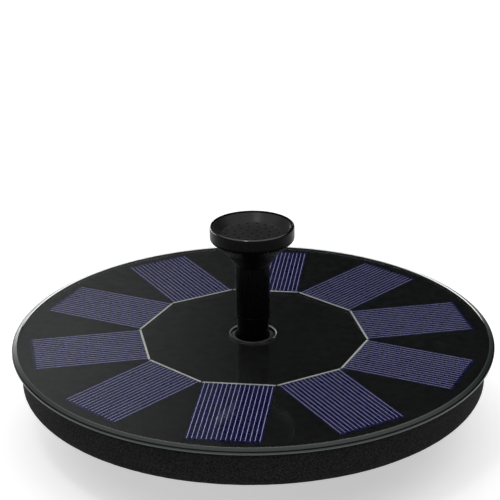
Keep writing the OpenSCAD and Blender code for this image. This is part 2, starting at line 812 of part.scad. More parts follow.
// The cup without its slots, on the chamfered rim that the pump stands on.
module strainer_cup() {
    rotate_extrude() polygon([
        [0, foot_h],
        [strainer_r - 2.6, foot_h],
        [strainer_r - 2.6, 0],
        [strainer_r - 0.6, 0],
        [strainer_r, 0.6],
        [strainer_r, strainer_h],
        [strainer_in_r, strainer_h],
        [strainer_in_r, strainer_floor_z],
        [0, strainer_floor_z]
    ]);
}

// Upright slot through the side wall, from the floor to under the lugs.
module side_slot() {
    translate([strainer_in_r - 1, -slot_w / 2, strainer_floor_z + 0.4])
        cube([strainer_wall + 2, slot_w, lug_z - strainer_floor_z - 1.4]);
}

// Radial slot with round ends in the floor, starting r from the axis.
module floor_slot(r) {
    translate([r, 0, 0]) linear_extrude(strainer_floor_z + cut) {
        translate([slot_w / 2, -slot_w / 2]) square([3.6 - slot_w, slot_w]);
        for (x = [slot_w / 2, 3.6 - slot_w / 2]) translate([x, 0]) circle(r = slot_w / 2, $fn = 24);
    }
}

// ---------------------------------------------------------------------- nozzle

module riser_tube() {
    color([0.06, 0.06, 0.06]) rotate_extrude() polygon([
        [spigot_r + push_clearance + 0.4, riser_z0],
        [riser_r - 0.4, riser_z0],
        [riser_r, riser_z0 + 0.6],
        [riser_r, seam_z - 0.1],
        [stem_r + 0.1, seam_z],
        [stem_r + 0.1, stem_z0],
        [socket_r, stem_z0],
        [socket_r, socket_z1 - 0.6],
        [socket_r - 0.4, socket_z1],
        [riser_bore_r, socket_z1],
        [riser_bore_r, spigot_z1 + 0.5],
        [spigot_r + push_clearance, spigot_z1 + 0.3],
        [spigot_r + push_clearance, riser_z0 + 0.4]
    ]);
}

module nozzle_head() {
    socket = socket_r + push_clearance;
    lip = 0.7; // rounding at the lip and under the rim
    slope = [head_r - taper_r, rim_z - underside_z] / norm([head_r - taper_r, rim_z - underside_z]);
    color([0.05, 0.05, 0.05]) rotate_extrude() polygon([
        [socket, stem_z0],
        [stem_r - 0.3, stem_z0],
        [stem_r, stem_z0 + 0.3],
        [stem_r, taper_z],
        [taper_r, underside_z],
        [head_r - lip * slope[0], rim_z - lip * slope[1]],
        [head_r - lip * 0.15, rim_z + lip * 0.15],
        [head_r, rim_z + lip],
        [head_r, head_z1 - lip],
        [head_r - lip * 0.3, head_z1 - lip * 0.3],
        [head_r - lip, head_z1],
        [seat_r + 0.1, head_z1],
        [seat_r + 0.1, spray_z + dish_d - 0.9],
        [spray_r + 0.6, spray_z],
        [spray_r, spray_z - 0.8],
        [taper_r - pump_wall, underside_z + 1.4],
        [stem_bore_r, taper_z + 1],
        [stem_bore_r, socket_z1 + 0.4],
        [socket, socket_z1 + 0.4]
    ]);
}

// Dished spray plate: a sloped wall round a flat face with rings of holes.
module spray_disc() {
    color([0.3, 0.3, 0.31]) difference() {
        rotate_extrude() polygon([
            [0, spray_z],
            [spray_r + 0.6, spray_z],
            [seat_r, spray_z + dish_d - 0.8],
            [seat_r, head_z1 - 0.5],
            [seat_r - 0.5, head_z1 - 0.5],
            [spray_r - 0.3, spray_z + spray_t],
            [0, spray_z + spray_t]
        ]);
        spray_hole();
        for (k = [1:spray_rings]) round_z(6 * k, k * ring_pitch, 9 * k) spray_hole();
    }
}

module spray_hole() {
    translate([0, 0, spray_z - cut]) cylinder(r = spray_hole_r, h = spray_t + 2 * cut, $fn = 24);
}

// ------------------------------------------------------------------- the nodes

panel_glass();
backsheet();
bus_ribbon();
hole_seal();
float_foam();
for (k = [1:cell_count]) solar_cell(k);
deck_shell();
base_cover();
cover_screws();
battery_cell();
control_board();
charge_inductor();
board_chips();
lead_connectors();
panel_leads();
battery_leads();
pump_leads();
pump_body();
outlet_cap();
outlet_seal();
pump_seal();
pump_screws();
stator_core();
windings();
potting_cap();
pump_shaft();
upper_cushion();
lower_cushion();
rotor_magnet();
impeller();
volute_plate();
volute_seal();
strainer_cover();
riser_tube();
nozzle_head();
spray_disc();
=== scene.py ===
import math

import bpy
from bpy.props import FloatProperty, FloatVectorProperty, IntProperty, PointerProperty
from mathutils import Matrix, Vector


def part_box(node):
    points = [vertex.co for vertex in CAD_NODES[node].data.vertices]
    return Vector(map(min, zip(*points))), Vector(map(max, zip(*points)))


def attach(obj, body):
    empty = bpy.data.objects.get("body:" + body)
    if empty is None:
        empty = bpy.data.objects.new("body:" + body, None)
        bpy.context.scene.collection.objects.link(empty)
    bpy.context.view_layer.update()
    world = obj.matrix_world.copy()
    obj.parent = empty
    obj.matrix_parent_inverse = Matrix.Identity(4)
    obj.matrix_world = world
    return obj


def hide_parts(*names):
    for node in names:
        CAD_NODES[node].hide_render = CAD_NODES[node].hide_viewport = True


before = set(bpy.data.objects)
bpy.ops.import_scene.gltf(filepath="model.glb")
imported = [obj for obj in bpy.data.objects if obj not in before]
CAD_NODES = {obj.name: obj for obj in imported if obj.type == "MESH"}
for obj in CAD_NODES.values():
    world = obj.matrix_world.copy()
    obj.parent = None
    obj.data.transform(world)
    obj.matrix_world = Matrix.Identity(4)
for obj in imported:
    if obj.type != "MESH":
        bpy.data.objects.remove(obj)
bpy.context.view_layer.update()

bl_info = {
    "name": "Floating Solar Fountain",
    "version": (1, 0, 0),
    "blender": (4, 5, 0),
    "location": "3D View > Sidebar > Fountain",
    "description": "Finishes the panel, float, pump and nozzle of a floating solar fountain",
    "category": "Add Mesh",
}

MM = 0.001
WAVE_PERIOD = 0.314  # length of one band of a wave texture whose scale is 1
LENS_SENSOR = 36.0  # width in mm of the sensor that the lens setting refers to
CELLS = sorted(name for name in CAD_NODES if name.startswith("solar_cell_"))


def low(node, axis=2):
    """Lowest coordinate of a CAD node along an axis, in mm."""
    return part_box(node)[0][axis] / MM


def high(node, axis=2):
    """Highest coordinate of a CAD node along an axis, in mm."""
    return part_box(node)[1][axis] / MM


# ------------------------------------------------------------------ settings


class FountainSizes(bpy.types.PropertyGroup):
    """Sizes of the fine detail that is added around the CAD parts"""

    line_count: IntProperty(
        name="Contact lines",
        description="Printed contact lines on one cell",
        default=16,
        min=4,
        max=40,
    )
    line_pitch: FloatProperty(
        name="Line pitch",
        description="Distance between two contact lines",
        default=1.62 * MM,
        unit="LENGTH",
    )
    line_width: FloatProperty(
        name="Line width",
        description="Width of one contact line",
        default=0.15 * MM,
        unit="LENGTH",
    )
    line_end: FloatProperty(
        name="Line end",
        description="Bare silicon left between the lines and the outer end of a cell",
        default=1.0 * MM,
        unit="LENGTH",
    )
    bevel_width: FloatProperty(
        name="Bevel width",
        description="Width of the ground bevel round the glass, seen from above",
        default=1.9 * MM,
        unit="LENGTH",
    )
    bevel_depth: FloatProperty(
        name="Bevel depth",
        description="Height of the ground bevel round the glass",
        default=1.0 * MM,
        unit="LENGTH",
    )
    hole_radius: FloatProperty(
        name="Hole radius",
        description="Radius of the hole in the middle of the glass",
        default=8.5 * MM,
        unit="LENGTH",
    )
    foam_rounding: FloatProperty(
        name="Foam rounding",
        description="Rounding of the foam ring's outer edges",
        default=1.5 * MM,
        unit="LENGTH",
    )


def swatch(name, description, colour):
    """A colour setting."""
    return FloatVectorProperty(
        name=name,
        description=description,
        subtype="COLOR",
        default=colour,
        min=0.0,
        max=1.0,
    )


class FountainColours(bpy.types.PropertyGroup):
    """Colours of the finishes that show most"""

    silicon: swatch("Silicon", "Colour of the solar cells", (0.0020, 0.0019, 0.031))
    contact: swatch("Contact lines", "Colour of the printed contact lines", (0.66, 0.63, 1.0))
    backing: swatch("Backing", "Colour of the laminate between the cells", (0.0042, 0.0042, 0.004))
    ground_glass: swatch(
        "Ground glass",
        "Colour of the glass's ground bevel and side",
        (0.020, 0.028, 0.025),
    )
    # Its pale colour is partly the frost of ground glass and partly a painted highlight.
    hole_frost_and_highlight: swatch(
        "Hole ring",
        "Colour of the pale ground bevel round the hole in the glass",
        (0.34, 0.35, 0.35),
    )
    foam: swatch("Foam", "Colour of the float's foam", (0.0052, 0.0052, 0.0054))
    gloss_black: swatch(
        "Gloss black",
        "Colour of the riser and the nozzle",
        (0.0012, 0.0012, 0.0012),
    )
    moulding: swatch("Moulding", "Colour of the hub and the pump body", (0.012, 0.012, 0.013))
    spray_insert: swatch("Spray insert", "Colour of the dished spray disc", (0.02, 0.02, 0.021))


class FountainStudio(bpy.types.PropertyGroup):
    """Camera, floor and lights"""

    stand_azimuth: FloatProperty(
        name="Camera azimuth",
        description="Where the camera stands round the fountain, from the front cell",
        subtype="ANGLE",
        default=math.radians(7.156),
    )
    stand_elevation: FloatProperty(
        name="Camera elevation",
        description="How high the camera stands over the glass",
        subtype="ANGLE",
        default=math.radians(25.076),
    )
    distance: FloatProperty(
        name="Camera distance",
        description="Distance from the camera to the middle of the glass",
        unit="LENGTH",
        default=0.59476,
    )
    aim_azimuth: FloatProperty(
        name="Aim azimuth",
        description="Turn of the camera's line of sight",
        subtype="ANGLE",
        default=math.radians(7.245),
    )
    aim_elevation: FloatProperty(
        name="Aim elevation",
        description="Dip of the camera's line of sight",
        subtype="ANGLE",
        default=math.radians(22.09),
    )
    roll: FloatProperty(
        name="Camera roll",
        description="Turn of the camera about its line of sight",
        subtype="ANGLE",
        default=math.radians(-0.55),
    )
    lens: FloatProperty(
        name="Lens",
        description="Focal length on a sensor 36 mm wide, in mm",
        default=113.67,
    )
    floor_colour: swatch("Floor", "Colour of the floor", (0.86, 0.86, 0.86))
    floor_glow: FloatProperty(
        name="Floor glow",
        description="Light that comes up through the floor, as through a light table",
        default=0.5,
        min=0.0,
    )
    key: FloatProperty(
        name="Key light",
        description="Strength of the small softbox high in front",
        default=0.9,
        min=0.0,
    )
    side: FloatProperty(
        name="Side light",
        description="Strength of the long low softbox behind, at the left",
        default=3.1,
        min=0.0,
    )
    ceiling: FloatProperty(
        name="Ceiling",
        description="Brightness of the white ceiling",
        default=1.1,
        min=0.0,
    )
    left_wall: FloatProperty(
        name="Left wall",
        description="Brightness of the wall behind, at the left",
        default=0.21,
        min=0.0,
    )
    right_wall: FloatProperty(
        name="Right wall",
        description="Brightness of the wall behind, at the right",
        default=0.0,
        min=0.0,
    )
    front_wall: FloatProperty(
        name="Front wall",
        description="Brightness of the wall behind the camera",
        default=0.15,
        min=0.0,
    )


# ------------------------------------------------------------------- finishes


class Finish:
    """A material built from nodes, with the few steps that most finishes here share."""

    def __init__(self, name, colour, roughness, metallic=0.0, shine=0.5):
        self.material = bpy.data.materials.new(name)
        self.material.use_nodes = True
        self.tree = self.material.node_tree
        self.shader = self.tree.nodes["Principled BSDF"]
        self.place = self.add("ShaderNodeTexCoord").outputs["Object"]
        self.normal = None
        self.set("Base Color", (*colour, 1.0))
        self.set("Roughness", roughness)
        self.set("Metallic", metallic)
        self.set("IOR", 1.5)
        self.set("Specular IOR Level", shine)

    def add(self, kind, **settings):
        made = self.tree.nodes.new(kind)
        for name, value in settings.items():
            setattr(made, name, value)
        return made

    def set(self, socket, value):
        self.shader.inputs[socket].default_value = value

    def drive(self, socket, output):
        self.tree.links.new(output, self.shader.inputs[socket])

    def link(self, output, target, socket):
        self.tree.links.new(output, target.inputs[socket])

    def stretched_place(self, scale):
        """Object coordinates scaled along each axis, for patterns with a grain."""
        mapping = self.add("ShaderNodeMapping")
        mapping.inputs["Scale"].default_value = scale
        self.link(self.place, mapping, "Vector")
        return mapping.outputs["Vector"]

    def noise(self, size, detail=3.0, place=None):
        """Cloudy pattern; size is the width of one blotch, in mm."""
        made = self.add("ShaderNodeTexNoise")
        made.inputs["Scale"].default_value = 1.0 / (size * MM)
        made.inputs["Detail"].default_value = detail
        self.link(place or self.place, made, "Vector")
        return made.outputs["Fac"]

    def cells(self, size):
        """Pattern of small closed cells; size is the width of one, in mm."""
        made = self.add("ShaderNodeTexVoronoi")
        made.inputs["Scale"].default_value = 1.0 / (size * MM)
        self.link(self.place, made, "Vector")
        return made.outputs["Distance"]

    def bands(self, size, axis, distortion=0.0):
        """Pattern of parallel bands; size is the width of one, in mm."""
        made = self.add("ShaderNodeTexWave", wave_type="BANDS", bands_direction=axis)
        made.inputs["Scale"].default_value = WAVE_PERIOD / (size * MM)
        made.inputs["Distortion"].default_value = distortion
        self.link(self.place, made, "Vector")
        return made.outputs["Fac"]

    def span(self, fac, start, end, least=0.3, most=0.7):
        """Value that runs from start to end as a pattern runs from least to most."""
        made = self.add("ShaderNodeMapRange")
        for name, value in zip(
            ("From Min", "From Max", "To Min", "To Max"), (least, most, start, end)
        ):
            made.inputs[name].default_value = value
        self.link(fac, made, "Value")
        return made.outputs["Result"]

    def shades(self, fac, *stops):
        """Colour that follows a pattern, through (position, colour) stops."""
        made = self.add("ShaderNodeValToRGB")
        elements = made.color_ramp.elements
        while len(elements) < len(stops):
            elements.new(0.5)
        for element, (position, colour) in zip(elements, stops):
            element.position = position
            element.color = (*colour, 1.0)
        self.link(fac, made, "Fac")
        return made.outputs["Color"]

    def relief(self, height, depth, strength=1.0):
        """Raises the surface by a pattern; depth is in mm. Reliefs add up."""
        made = self.add("ShaderNodeBump")
        made.inputs["Strength"].default_value = strength
        made.inputs["Distance"].default_value = depth * MM
        self.link(height, made, "Height")
        if self.normal is not None:
            self.link(self.normal, made, "Normal")
        self.normal = made.outputs["Normal"]
        self.drive("Normal", self.normal)


def tint(colour, factor):
    """A darker or lighter shade of a colour."""
    return tuple(min(1.0, part * factor) for part in colour)


def moulded(name, colour, roughness, grain=0.35):
    """Moulded plastic: fine even grain, slightly uneven sheen, faint flow marks."""
    finish = Finish(name, colour, roughness)
    flow = finish.noise(9.0, detail=4.0)
    finish.drive(
        "Base Color",
        finish.shades(flow, (0.30, tint(colour, 0.75)), (0.70, tint(colour, 1.25))),
    )
    finish.drive(
        "Roughness",
        finish.span(finish.noise(2.5, detail=5.0), roughness - 0.06, roughness + 0.08),
    )
    finish.relief(finish.noise(grain, detail=2.0), 0.02, 0.5)
    return finish.material


def gloss_plastic(name, colour, roughness, shine=0.5):
    """Polished moulding: a faint orange peel and hair-fine handling marks."""
    finish = Finish(name, colour, roughness, shine=shine)
    finish.drive(
        "Base Color",
        finish.shades(
            finish.noise(14.0, detail=3.0),
            (0.30, tint(colour, 0.8)),
            (0.70, tint(colour, 1.25)),
        ),
    )
    scuff = finish.noise(0.5, detail=6.0, place=finish.stretched_place((1, 1, 0.15)))
    finish.drive(
        "Roughness", finish.span(scuff, roughness - 0.03, roughness + 0.10, 0.4, 0.75)
    )
    finish.relief(finish.noise(3.0, detail=1.0), 0.002, 0.3)
    return finish.material


def metal(name, colour, roughness):
    """Bare metal with fine turned marks round an upright axis."""
    finish = Finish(name, colour, roughness, metallic=1.0)
    marks = finish.noise(0.6, detail=4.0, place=finish.stretched_place((1, 1, 8)))
    finish.drive(
        "Base Color",
        finish.shades(marks, (0.3, tint(colour, 0.82)), (0.7, tint(colour, 1.1))),
    )
    finish.drive("Roughness", finish.span(marks, roughness - 0.08, roughness + 0.12))
    finish.relief(marks, 0.01, 0.3)
    return finish.material


def soft_rubber(name, colour):
    """Matte rubber with a dusty bloom."""
    finish = Finish(name, colour, 0.6, shine=0.25)
    bloom = finish.noise(1.8, detail=5.0)
    finish.drive(
        "Base Color",
        finish.shades(bloom, (0.35, tint(colour, 0.7)), (0.75, tint(colour, 1.6))),
    )
    finish.drive("Roughness", finish.span(bloom, 0.5, 0.72))
    finish.relief(finish.noise(0.25), 0.01, 0.5)
    return finish.material


def silicon(colour):
    """Blue silicon: faint crystal mottling under an even sheen."""
    finish = Finish("cell_silicon", colour, 0.3, shine=0.12)
    mottle = finish.cells(3.2)
    finish.drive(
        "Base Color",
        finish.shades(
            mottle,
            (0.10, tint(colour, 0.85)),
            (0.55, colour),
            (0.95, tint(colour, 1.35)),
        ),
    )
    finish.drive("Roughness", finish.span(finish.noise(1.2, detail=4.0), 0.24, 0.36))
    finish.relief(finish.noise(0.2), 0.004, 0.3)
    return finish.material


def printed_contact(colour):
    """Fired silver print: slightly rough, a little thinner in places."""
    finish = Finish("contact_print", colour, 0.42, shine=0.3)
    finish.drive(
        "Base Color",
        finish.shades(
            finish.noise(2.5, detail=2.0),
            (0.25, tint(colour, 0.9)),
            (0.65, tint(colour, 1.0)),
        ),
    )
    finish.relief(finish.noise(0.12), 0.002, 0.2)
    return finish.material


def tinned_ribbon():
    """Tinned copper: bright, with frosted patches where the solder set."""
    colour = (0.80, 0.78, 0.74)
    finish = Finish("tinned_ribbon", colour, 0.35, metallic=0.6)
    frost = finish.noise(1.6, detail=5.0)
    finish.drive(
        "Base Color", finish.shades(frost, (0.3, tint(colour, 0.78)), (0.6, colour))
    )
    finish.drive("Roughness", finish.span(frost, 0.28, 0.55))
    finish.relief(frost, 0.02, 0.4)
    return finish.material


def laminate(colour):
    """Satin black laminate behind the cells, faintly mottled."""
    finish = Finish("panel_backing", colour, 0.5, shine=0.06)
    finish.drive(
        "Base Color",
        finish.shades(
            finish.noise(1.1, detail=6.0),
            (0.30, tint(colour, 0.7)),
            (0.55, colour),
            (0.80, tint(colour, 1.7)),
        ),
    )
    finish.drive("Roughness", finish.span(finish.noise(4.0), 0.42, 0.6))
    finish.relief(finish.noise(0.5, detail=4.0), 0.01, 0.4)
    return finish.material


def clear_glass():
    """Clear float glass that lets lamp light through to the cells under it."""
    finish = Finish("clear_glass", (0.97, 1.0, 0.985), 0.0)
    finish.set("Transmission Weight", 1.0)
    finish.relief(finish.noise(60.0, detail=1.0), 0.03, 0.05)
    light_path = finish.add("ShaderNodeLightPath")
    through = finish.add("ShaderNodeBsdfTransparent")
    through.inputs["Color"].default_value = (0.90, 0.93, 0.92, 1.0)
    mix = finish.add("ShaderNodeMixShader")
    finish.link(light_path.outputs["Is Shadow Ray"], mix, "Fac")
    finish.tree.links.new(finish.shader.outputs["BSDF"], mix.inputs[1])
    finish.tree.links.new(through.outputs["BSDF"], mix.inputs[2])
    output = finish.tree.nodes["Material Output"]
    finish.tree.links.new(mix.outputs["Shader"], output.inputs["Surface"])
    return finish.material


def ground_edge(colour, bottom, top):
    """Ground glass rim, by height: painted highlight on the bottom arris, frosted side, painted
    dark outline (painted shade), bevel, painted highlight on the top edge.
    """
    finish = Finish("ground_rim", colour, 0.35)
    axes = finish.add("ShaderNodeSeparateXYZ")
    finish.link(finish.place, axes, "Vector")
    height = finish.span(axes.outputs["Z"], 0.0, 1.0, bottom * MM, top * MM)
    wheel = finish.noise(0.5, detail=5.0, place=finish.stretched_place((1, 1, 5)))
    level = finish.add("ShaderNodeMath", operation="MULTIPLY_ADD")
    finish.link(wheel, level, 0)
    level.inputs[1].default_value = 0.06  # how far the wheel marks fray the borders
    finish.link(height, level, 2)
    # Colour by height: the stops at 0.17 and 0.99 are painted highlights on the bottom arris and
    # the top edge; the dark band from 0.54 to 0.64 is a painted dark outline, painted shade.
    finish.drive(
        "Base Color",
        finish.shades(
            level.outputs["Value"],
            (0.17, tint(colour, 3.6)),
            (0.26, tint(colour, 1.2)),
            (0.50, colour),
            (0.54, tint(colour, 0.1)),
            (0.64, tint(colour, 0.1)),
            (0.70, tint(colour, 0.8)),
            (0.94, tint(colour, 0.8)),
            (0.99, tint(colour, 3.0)),
        ),
    )
    # The band of the painted dark outline is also made dull, so that it shows almost no
    # reflection.
    ground, dull = (0.4,) * 3, (0.05,) * 3
    outline = finish.shades(
        level.outputs["Value"],
        (0.50, ground),
        (0.54, dull),
        (0.64, dull),
        (0.70, ground),
    )
    finish.drive("Specular IOR Level", outline)
    finish.drive("Roughness", finish.span(wheel, 0.26, 0.42))
    finish.relief(wheel, 0.012, 0.4)
    return finish.material


def ground_ring(colour):
    """Ground bevel round the hole, with fine wheel marks; its pale colour is partly frosted glass
    and partly a painted highlight.
    """
    finish = Finish("ground_hole_and_highlight", colour, 0.3)
    wheel = finish.noise(0.4, detail=4.0)
    finish.drive(
        "Base Color",
        finish.shades(wheel, (0.3, tint(colour, 0.5)), (0.7, tint(colour, 1.4))),
    )
    finish.drive("Roughness", finish.span(wheel, 0.2, 0.4))
    finish.relief(wheel, 0.01, 0.3)
    return finish.material


def float_foam(colour):
    """Closed-cell foam: tight pores with paler rims, and a few larger ones."""
    finish = Finish("float_foam", colour, 0.85, shine=0.06)
    pores = finish.cells(0.5)
    specks = finish.noise(0.4, detail=4.0)
    tone = finish.add("ShaderNodeMath", operation="MULTIPLY_ADD")
    finish.link(pores, tone, 0)
    tone.inputs[1].default_value = 0.55  # share of the pores beside the specks
    finish.link(specks, tone, 2)
    finish.drive(
        "Base Color",
        finish.shades(
            tone.outputs["Value"],
            (0.45, tint(colour, 0.3)),
            (0.68, colour),
            (0.90, tint(colour, 3.5)),
        ),
    )
    finish.drive("Roughness", finish.span(specks, 0.75, 0.95))
    finish.relief(pores, 0.18, 0.7)
    finish.relief(specks, 0.06, 0.5)
    return finish.material


def wound_copper():
    """Enamelled copper turns, a fine thread of bands."""
    colour = (0.55, 0.22, 0.08)
    finish = Finish("enamelled_copper", colour, 0.3, metallic=0.9)
    turns = finish.bands(0.25, axis="Z", distortion=0.6)
    finish.drive(
        "Base Color", finish.shades(turns, (0.1, tint(colour, 0.35)), (0.7, colour))
    )
    finish.relief(turns, 0.08, 0.8)
    return finish.material


def steel_laminations():
    """Stacked sheet steel, seen as thin layers on its sides."""
    colour = (0.36, 0.36, 0.38)
    finish = Finish("steel_laminations", colour, 0.4, metallic=1.0)
    layers = finish.bands(0.5, axis="Z")
    finish.drive(
        "Base Color", finish.shades(layers, (0.15, tint(colour, 0.4)), (0.6, colour))
    )
    finish.relief(layers, 0.04, 0.7)
    return finish.material


def circuit_board():
    """Green solder mask over a faint pattern of copper tracks."""
    colour = (0.012, 0.12, 0.05)
    finish = Finish("solder_mask", colour, 0.3)
    across = finish.bands(1.1, axis="X")
    along = finish.bands(1.7, axis="Y")
    tracks = finish.add("ShaderNodeMath", operation="MAXIMUM")
    finish.link(across, tracks, 0)
    finish.link(along, tracks, 1)
    finish.drive(
        "Base Color",
        finish.shades(
            tracks.outputs["Value"], (0.80, colour), (0.97, (0.05, 0.26, 0.10))
        ),
    )
    finish.relief(tracks.outputs["Value"], 0.03, 0.3)
    return finish.material


def stone(name, colour, roughness, grain=0.4):
    """Fired or sintered body with fine dark and pale grains."""
    finish = Finish(name, colour, roughness)
    grains = finish.noise(grain, detail=6.0)
    finish.drive(
        "Base Color",
        finish.shades(grains, (0.3, tint(colour, 0.72)), (0.7, tint(colour, 1.18))),
    )
    finish.drive("Roughness", finish.span(grains, roughness - 0.05, roughness + 0.1))
    finish.relief(grains, 0.01, 0.4)
    return finish.material


def shrink_wrap():
    """Blue shrink sleeve of the battery, with faint creases along it."""
    colour = (0.02, 0.08, 0.26)
    finish = Finish("battery_sleeve", colour, 0.25)
    creases = finish.noise(2.0, detail=4.0, place=finish.stretched_place((3, 0.3, 3)))
    finish.drive(
        "Base Color",
        finish.shades(creases, (0.3, tint(colour, 0.8)), (0.7, tint(colour, 1.25))),
    )
    finish.drive("Roughness", finish.span(creases, 0.18, 0.34))
    finish.relief(creases, 0.03, 0.5)
    return finish.material


def paint(finish, *nodes):
    """Gives CAD nodes a finish in all their material slots."""
    for name in nodes:
        mesh = CAD_NODES[name].data
        if not mesh.materials:
            mesh.materials.append(finish)
        for index in range(len(mesh.materials)):
            mesh.materials[index] = finish


# ------------------------------------------------------------------ modelling


def clear_selection():
    """Back to object mode, with nothing selected."""
    if bpy.context.mode != "OBJECT":
        bpy.ops.object.mode_set(mode="OBJECT")
    bpy.ops.object.select_all(action="DESELECT")


def apply_place(piece):
    """Moves a piece's place, turn and size into its mesh."""
    clear_selection()
    piece.select_set(True)
    bpy.context.view_layer.objects.active = piece
    bpy.ops.object.transform_apply(location=True, rotation=True, scale=True)


def apply_modifiers(piece):
    """Moves a piece's modifiers into its mesh."""
    clear_selection()
    piece.select_set(True)
    bpy.context.view_layer.objects.active = piece
    for modifier in list(piece.modifiers):
        bpy.ops.object.modifier_apply(modifier=modifier.name)


def smooth(piece, angle):
    """Shades a piece smooth, except where it turns by more than the angle."""
    clear_selection()
    piece.select_set(True)
    bpy.context.view_layer.objects.active = piece
    bpy.ops.object.shade_smooth_by_angle(angle=math.radians(angle))


def supported(profile, gap=0.35):
    """The same profile with a point near both ends of each long run, to keep it flat."""
    points = []
    for before, after in zip(profile, profile[1:] + profile[:1]):
        points.append(before)
        share = gap / math.dist(before, after)
        if share < 0.25:
            for part in (share, 1 - share):
                points.append(
                    tuple(start + part * (end - start) for start, end in zip(before, after))
                )
    return points


def rounded_edge(outer, middle, rounding, start):
    """Points of a quarter round on a ring's outer edge, from the angle start."""
    return [
        (
            outer - rounding + rounding * math.cos(math.radians(angle)),
            middle + rounding * math.sin(math.radians(angle)),
        )
        for angle in range(start, start + 91, 15)
    ]


def turned(name, profile, sides):
    """A closed ring turned round the fountain's axis; profile is (radius, height) in mm."""
    profile = supported(profile)
    clear_selection()
    radius, height = profile[0]
    bpy.ops.mesh.primitive_circle_add(
        vertices=sides, radius=radius * MM, location=(0, 0, height * MM)
    )
    piece = bpy.context.object
    piece.name = name
    piece.data.name = name
    apply_place(piece)
    bpy.ops.object.mode_set(mode="EDIT")
    bpy.ops.mesh.select_all(action="SELECT")
    for before, after in zip(profile, profile[1:]):
        bpy.ops.mesh.extrude_region_move(
            TRANSFORM_OT_translate={"value": (0, 0, (after[1] - before[1]) * MM)}
        )
        grow = after[0] / before[0]
        bpy.ops.transform.resize(
            value=(grow, grow, 1), center_override=(0, 0, after[1] * MM)
        )
    bpy.ops.mesh.select_all(action="DESELECT")
    bpy.ops.mesh.select_non_manifold()
    bpy.ops.mesh.bridge_edge_loops()
    bpy.ops.mesh.select_all(action="SELECT")
    bpy.ops.mesh.normals_make_consistent(inside=False)
    bpy.ops.object.mode_set(mode="OBJECT")
    return piece


def round_edges(piece, width, angle, segments=3):
    """Rounds the edges that turn by more than the angle; width is in mm."""
    bevel = piece.modifiers.new("rounded_edges", "BEVEL")
    bevel.width = width * MM
    bevel.segments = segments
    bevel.limit_method = "ANGLE"
    bevel.angle_limit = math.radians(angle)
    apply_modifiers(piece)


def finish_piece(piece, finish, body):
    """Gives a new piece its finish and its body."""
    if not piece.data.materials:
        piece.data.materials.append(finish)
    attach(piece, body)


# ------------------------------------------------------------------ operators


